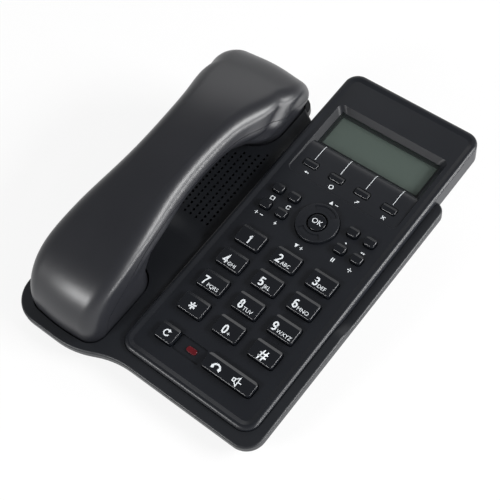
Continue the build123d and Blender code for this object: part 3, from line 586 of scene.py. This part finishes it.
key_print = {
    "key_1": ("1", ""), "key_2": ("2", "ABC"), "key_3": ("3", "DEF"),
    "key_4": ("4", "GHI"), "key_5": ("5", "JKL"), "key_6": ("6", "MNO"),
    "key_7": ("7", "PQRS"), "key_8": ("8", "TUV"), "key_9": ("9", "WXYZ"),
    "key_star": ("*", ""), "key_0": ("0", "+"), "key_hash": ("#", ""),
}
for place, (key, (number, letters)) in enumerate(key_print.items()):
    x = (place % 3 - 1) * KEY_PITCH_X
    v = (1 - place // 3) * KEY_PITCH_V + BASE_LINE
    if number.isdigit():
        big = number_mesh(number, NUMBER_HEIGHT)
    else:
        big = star(NUMBER_HEIGHT) if number == "*" else text_mesh(number, NUMBER_HEIGHT, 0.012)
    width = wide(big)
    parts = [(big, 0)]
    if letters:
        small = text_mesh(letters, LETTER_HEIGHT, 0.0)
        parts.append((small, width + PAIR_GAP))
        width += PAIR_GAP + wide(small)
    parts = [(mesh, x - width / 2 + shift, v) for mesh, shift in parts]
    printed(f"print_{key}", joined(f"print_{key}", parts), key, key)
print("printed", len(key_print), "number keys")

# %% [markdown]
# The small keys carry no print of their own: it stands on the panel just in front of each one. Plain signs
# say what a key does in any language, so they are drawn with the pen as well, on a square of one by one.

# %% Signs drawn with a pen
def sign_arrow(turn):
    """Arrow that points right before it is turned."""
    a = math.radians(turn)
    spin = Matrix.Rotation(a, 3, "Z")
    middle = Vector((0.5, 0.5, 0))
    faces = stroke([(0.02, 0.5), (0.70, 0.5)]) + filled([(0.56, 0.80), (1.0, 0.5), (0.56, 0.20)])
    return [[middle + spin @ (p - middle) for p in face] for face in faces]


def sign_cross():
    return stroke([(0.08, 0.08), (0.92, 0.92)]) + stroke([(0.08, 0.92), (0.92, 0.08)])


def sign_ring():
    return stroke(arc(0.42, 0, 360)[:-1], closed=True)


def sign_bars():
    return stroke([(0.28, 0), (0.28, 1)], 0.24) + stroke([(0.72, 0), (0.72, 1)], 0.24)


def sign_block():
    return stroke([(0.1, 0.1), (0.9, 0.1), (0.9, 0.9), (0.1, 0.9)], closed=True)


def sign_again():
    return stroke(arc(0.42, 60, 340)) + filled([(0.62, 1.12), (1.02, 0.86), (0.60, 0.60)])


def sign_bolt():
    """Bolt of four triangles."""
    peak, foot, left, right = (0.62, 1.0), (0.38, 0.0), (0.46, 0.46), (0.54, 0.54)
    return filled([peak, (0.12, 0.42), left]) + filled([foot, (0.88, 0.58), right]) + \
        filled([left, right, peak]) + filled([left, foot, right])


def dot(radius, x, y, sides):
    return filled(arc(radius, 0, 360, sides, x, y)[:-1])


def sign_dots(count):
    faces = []
    for i in range(count):
        faces += dot(0.19, 0.5 + 0.5 * (i - (count - 1) / 2), 0.5, 14)
    return faces


def sign_plus():
    return stroke([(0.5, 0.06), (0.5, 0.94)]) + stroke([(0.06, 0.5), (0.94, 0.5)])


def sign_minus():
    return stroke([(0.06, 0.5), (0.94, 0.5)])


def sign_peak(side):
    """Solid triangle pointing up (1) or down (-1)."""
    return filled([(0.02, 0.5 - 0.42 * side), (0.98, 0.5 - 0.42 * side), (0.5, 0.5 + 0.46 * side)])


def sign_divide():
    return sign_minus() + dot(0.12, 0.5, 0.86, 12) + dot(0.12, 0.5, 0.14, 12)


def sign_speaker():
    """Loudspeaker seen from the side, with the line of its sound."""
    body = stroke([(0.04, 0.34), (0.30, 0.34), (0.66, 0.02), (0.66, 0.98), (0.30, 0.66), (0.04, 0.66)],
                  0.10, closed=True)
    return body + stroke([(0.30, 0.34), (0.30, 0.66)], 0.10) + stroke([(0.62, 0.5), (1.06, 0.5)], 0.10)


def sign_handset():
    """Handset lying on its back: a bow between two blocks."""
    bow = stroke([(0.10, 0.48), (0.26, 0.70), (0.5, 0.78), (0.74, 0.70), (0.90, 0.48)], 0.15)
    return bow + filled([(0.0, 0.52), (0.24, 0.62), (0.30, 0.32), (0.06, 0.22)]) + \
        filled([(1.0, 0.52), (0.94, 0.22), (0.70, 0.32), (0.76, 0.62)])


def sign_mesh(faces, size, x, v):
    """Flat mesh of a sign, in millimetres, centred on a place."""
    shape = bmesh.new()
    for face in faces:
        corners = [shape.verts.new(((p.x - 0.5) * size + x, (p.y - 0.5) * size + v, 0)) for p in face]
        shape.faces.new(corners)
    bmesh.ops.recalc_face_normals(shape, faces=shape.faces)
    mesh = bpy.data.meshes.new("sign")
    shape.to_mesh(mesh)
    shape.free()
    return mesh


print("signs ready")

# %% [markdown]
# The places of the signs were read off the photograph, laid flat on the deck. They ride with the panel,
# apart from those on the round middle key, the redial key and the hands-free key, which are printed on the
# keys.

# %% Print the signs
SMALL_SIGN = 2.6
SOFT_SIGN = 2.9
panel_signs = {
    "print_soft_1": [(sign_arrow(180), SOFT_SIGN, -24.8, 67.4)],
    "print_soft_2": [(sign_ring(), SOFT_SIGN, -8.0, 67.2)],
    "print_soft_3": [(sign_arrow(45), SOFT_SIGN, 9.2, 67.2)],
    "print_soft_4": [(sign_cross(), 2.5, 26.3, 67.1)],
    "print_hold": [(sign_block(), SMALL_SIGN, -30.0, 43.4)],
    "print_again": [(sign_again(), SMALL_SIGN, -19.2, 43.3)],
    "print_volume": [(sign_plus(), 2.4, -32.0, 31.5), (sign_minus(), 2.4, -28.6, 31.5)],
    "print_flash": [(sign_bolt(), SMALL_SIGN, -19.2, 31.5)],
    "print_one": [(sign_dots(1), SMALL_SIGN, 19.4, 42.9)],
    "print_two": [(sign_dots(2), SMALL_SIGN, 30.2, 42.9)],
    "print_pause": [(sign_bars(), 2.4, 19.4, 30.9)],
    "print_sums": [(sign_divide(), 2.7, 30.2, 30.9)],
    "print_up": [(sign_peak(1), 2.5, -1.4, 58.9), (sign_minus(), 2.2, 1.8, 58.9)],
    "print_down": [(sign_peak(-1), 2.5, -1.6, 26.9), (sign_plus(), 2.2, 1.7, 26.9)],
}
for name, signs in panel_signs.items():
    mesh = joined(name, [(sign_mesh(*sign), 0, 0) for sign in signs])
    printed(name, mesh, "faceplate", "base")

ok_print = text_mesh("OK", 3.0, 0.0)
printed("print_centre", joined("print_centre", [(ok_print, -wide(ok_print) / 2, 42.5)]),
        "centre_key", "centre_key")
printed("print_redial", joined("print_redial", [(sign_mesh(sign_again(), 4.0, -24.6, -52.6), 0, 0)]),
        "redial_key", "redial_key")
printed("print_handset", joined("print_handset", [(sign_mesh(sign_handset(), 6.0, 8.4, -52.6), 0, 0)]),
        "handsfree_key", "handsfree_key")
printed("print_speaker", joined("print_speaker", [(sign_mesh(sign_speaker(), 5.2, 21.4, -52.6), 0, 0)]),
        "handsfree_key", "handsfree_key")
print("printed", len(panel_signs) + 4, "signs")

# %% [markdown]
# A thin line leads from each soft key over the lip of the bay to its field of the display. The lip is
# curved, so the line is cut into short steps along its length, and each step drops onto the surface.

# %% Lines to the display
LINE_WIDTH = 0.32
LINE_START = 76.8
LINE_END = 88.2
LINE_STEPS = 24
soft_columns = [-26.0, -8.6, 8.4, 26.0]
for number, x in enumerate(soft_columns, 1):
    steps = [LINE_START + (LINE_END - LINE_START) * i / LINE_STEPS for i in range(LINE_STEPS + 1)]
    ribbon = bmesh.new()
    sides = [[ribbon.verts.new((x + side * LINE_WIDTH / 2, v, 0)) for v in steps] for side in (1, -1)]
    for i in range(LINE_STEPS):
        ribbon.faces.new([sides[0][i], sides[0][i + 1], sides[1][i + 1], sides[1][i]])
    mesh = bpy.data.meshes.new(f"print_line_{number}")
    ribbon.to_mesh(mesh)
    ribbon.free()
    printed(f"print_line_{number}", mesh, "faceplate", "base")
print("printed", len(soft_columns), "lines")

# %% [markdown]
# Two shapes are finer than the solids. The signal light is a small bar of dark red acrylic, longer across
# than up the slope, which lies in its channel of the panel. The ring key has a shallow pad at the top and
# at the bottom, where the thumb finds it, and a boolean cut takes both out of a copy of the ring. Each new
# shape takes the place of the CAD piece, so the plain one is not drawn.

# %% Signal light and ring pads
LIGHT_X = -8.8
LIGHT_V = -52.2
LIGHT_ACROSS = 6.2
LIGHT_ALONG = 3.2
LIGHT_CORNER = 1.3
LIGHT_FOOT = -0.85
LIGHT_TOP = 0.05
LIGHT_ROUNDING = 0.3 * MM
RING_TOP = 2.0
PAD_OUTER = 10.7
PAD_INNER = 7.4
PAD_DEPTH = 0.45
PAD_HALF_ANGLE = 42


def upright(name, outline, foot, top):
    """Closed solid over an outline on the deck, from a foot to a top, in millimetres."""
    shape = bmesh.new()
    low = [shape.verts.new(on_deck(x * MM, v * MM, foot * MM)) for x, v in outline]
    high = [shape.verts.new(on_deck(x * MM, v * MM, top * MM)) for x, v in outline]
    shape.faces.new(high)
    shape.faces.new(low[::-1])
    for i in range(len(outline)):
        j = (i + 1) % len(outline)
        shape.faces.new([low[i], low[j], high[j], high[i]])
    bmesh.ops.recalc_face_normals(shape, faces=shape.faces)
    mesh = bpy.data.meshes.new(name)
    shape.to_mesh(mesh)
    shape.free()
    made = bpy.data.objects.new(name, mesh)
    bpy.context.scene.collection.objects.link(made)
    return made


def signal_light():
    across, along = LIGHT_ACROSS / 2 - LIGHT_CORNER, LIGHT_ALONG / 2 - LIGHT_CORNER
    outline = []
    for side, end, start in ((1, 1, 0), (-1, 1, 90), (-1, -1, 180), (1, -1, 270)):
        outline += arc(LIGHT_CORNER, start, start + 90, 8, LIGHT_X + side * across, LIGHT_V + end * along)
    light = upright("signal_light", outline, LIGHT_FOOT, LIGHT_TOP)
    light.data.materials.append(light_red)
    softened = light.modifiers.new("softened", "BEVEL")
    softened.width = LIGHT_ROUNDING
    softened.segments = 3
    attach(light, "base")
    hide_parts("status_led")
    return light


def ring_with_pads():
    """Copy of the ring key with its two shallow pads cut into the top."""
    ring = copy_of("nav_ring", "nav_ring_padded")
    cutters = []
    for middle in (90, 270):
        ends = middle - PAD_HALF_ANGLE, middle + PAD_HALF_ANGLE
        outline = arc(PAD_OUTER, *ends, 24, 0, RING_V / MM) + arc(PAD_INNER, *ends[::-1], 24, 0, RING_V / MM)
        cutters.append(upright("pad_cutter", outline, RING_TOP - PAD_DEPTH, RING_TOP + 1))
        cut = ring.modifiers.new("pad", "BOOLEAN")
        cut.operation = "DIFFERENCE"
        cut.object = cutters[-1]
    graph = bpy.context.evaluated_depsgraph_get()
    padded = bpy.data.meshes.new_from_object(ring.evaluated_get(graph))
    ring.modifiers.clear()
    ring.data = padded
    for cutter in cutters:
        bpy.data.objects.remove(cutter)
    smoothed(padded, panel_black)
    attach(ring, "nav_ring")
    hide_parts("nav_ring")
    return ring


for piece in (signal_light(), ring_with_pads()):
    print("shaped", piece.name, len(piece.data.vertices), "vertices")

# %% [markdown]
# The studio is a pale floor that runs to a white background, with soft lamps. Black plastic shows what it
# reflects more than its own colour, so each lamp is a wide panel: one on the right draws the long highlight
# on the handset, a long low one beside it lights the flanks that face right, a faint one hangs above and
# behind, and a small one in front lifts the edges of the keys. The sky does the rest, bright at the horizon
# and dim overhead.

# %% Floor, background and lamps
FLOOR_SIZE = 6.0
FLOOR_DEPTH = 0.0005


def pale_floor():
    finish = Finish("pale floor")
    speck = finish.noise(0.02)
    paint = finish.mixed(speck, (0.90, 0.90, 0.90, 1), (0.93, 0.93, 0.93, 1))
    matt = finish.node("ShaderNodeBsdfPrincipled", {}, {"Base Color": paint, "Roughness": 0.9})
    glow = finish.node("ShaderNodeEmission", {}, {"Color": (1, 1, 1, 1), "Strength": 1.0})
    return finish.shown(finish.node("ShaderNodeMixShader", {}, {0: 0.84, 1: matt, 2: glow}))


floor_mesh = bpy.data.meshes.new("floor")
half = FLOOR_SIZE / 2
floor_mesh.from_pydata([(-half, -half, 0), (half, -half, 0), (half, half, 0), (-half, half, 0)], [],
                       [(0, 1, 2, 3)])
floor_mesh.materials.append(pale_floor())
floor = bpy.data.objects.new("floor", floor_mesh)
floor.location.z = -FLOOR_DEPTH
bpy.context.scene.collection.objects.link(floor)


def studio_sky():
    """White at the horizon and darker overhead, but plain white where the camera sees it."""
    finish = Finish("studio", bpy.data.worlds.new("studio"))
    direction = finish.node("ShaderNodeTexCoord", output="Generated")
    height = finish.node("ShaderNodeSeparateXYZ", {}, {"Vector": direction}, "Z")
    light = finish.node("ShaderNodeMapRange", {}, {
        "Value": height, "From Min": 0.05, "From Max": 0.75, "To Min": 0.8, "To Max": 0.176})
    seen = finish.node("ShaderNodeLightPath", output="Is Camera Ray")
    strength = finish.node("ShaderNodeMath", {"operation": "MAXIMUM"}, {0: light, 1: seen})
    glow = finish.node("ShaderNodeBackground", {}, {"Color": (1, 1, 1, 1), "Strength": strength})
    return finish.shown(glow, "ShaderNodeOutputWorld")


bpy.context.scene.world = studio_sky()


def soft_lamp(name, direction, distance, width, height, power):
    """Area lamp that shines at the telephone from a direction."""
    data = bpy.data.lights.new(name, "AREA")
    data.shape = "RECTANGLE"
    data.size = width
    data.size_y = height
    data.energy = power
    lamp = bpy.data.objects.new(name, data)
    away = Vector(direction).normalized()
    lamp.location = away * distance
    lamp.rotation_mode = "QUATERNION"
    lamp.rotation_quaternion = away.to_track_quat("Z", "Y")
    bpy.context.scene.collection.objects.link(lamp)
    return lamp


soft_lamp("lamp_right", (0.76, 0.30, 0.56), 1.2, 0.6, 0.30, 15)
soft_lamp("lamp_right_low", (0.96, 0.20, 0.04), 1.2, 1.2, 0.16, 16)
soft_lamp("lamp_above", (-0.45, 0.75, 0.75), 1.5, 1.0, 0.7, 3)
soft_lamp("lamp_front", (-0.30, -0.86, 0.42), 1.2, 0.35, 0.3, 8)
bpy.context.scene.view_settings.view_transform = "Standard"
print("studio ready")
